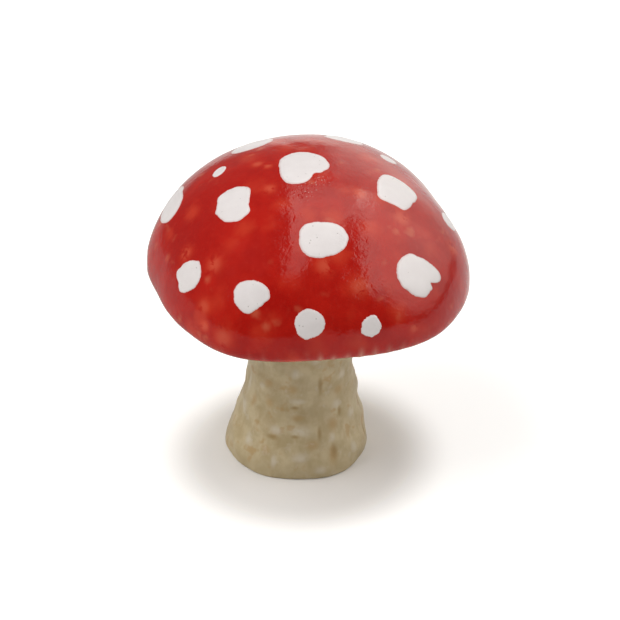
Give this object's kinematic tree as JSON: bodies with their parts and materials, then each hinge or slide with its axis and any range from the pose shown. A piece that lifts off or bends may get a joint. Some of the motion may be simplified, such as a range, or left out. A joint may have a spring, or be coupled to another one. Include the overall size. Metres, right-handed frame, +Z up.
{
  "type": "ceramic mushroom ornament",
  "caption": "Small glazed ceramic toadstool ornament: domed red cap with white enamel spots and gilled underside on a flared beige stem with a flat foot.",
  "frame": {"origin": "middle of the stem's flat foot, on the ground", "axes": "+Z up through the cap, -Y towards the side seen in the picture, +X to the right as seen there"},
  "size_m": [0.0278, 0.0286, 0.0278],
  "materials": {
    "red_glaze": "glossy red glaze over a clay body",
    "white_enamel": "glossy white enamel",
    "stem_glaze": "satin beige glaze with brown wash",
    "gill_clay": "matt pale clay"
  },
  "bodies": {
    "root": {"cap_body": "red_glaze", "gill_ring": "gill_clay", "joint_coil": "gill_clay", "spot_back_centre": "white_enamel", "spot_back_left_high": "white_enamel", "spot_back_left_low": "white_enamel", "spot_back_low": "white_enamel", "spot_back_right": "white_enamel", "spot_back_right_high": "white_enamel", "spot_back_right_low": "white_enamel", "spot_crown": "white_enamel", "spot_front_centre": "white_enamel", "spot_front_left_high": "white_enamel", "spot_front_left_low": "white_enamel", "spot_front_low": "white_enamel", "spot_front_right": "white_enamel", "spot_front_right_low": "white_enamel", "spot_left_high": "white_enamel", "spot_left_high_small": "white_enamel", "spot_left_low": "white_enamel", "spot_left_rim": "white_enamel", "spot_right_back_low": "white_enamel", "spot_right_high": "white_enamel", "spot_right_high_small": "white_enamel", "spot_right_low": "white_enamel", "stem": "stem_glaze"}
  },
  "joints": []
}
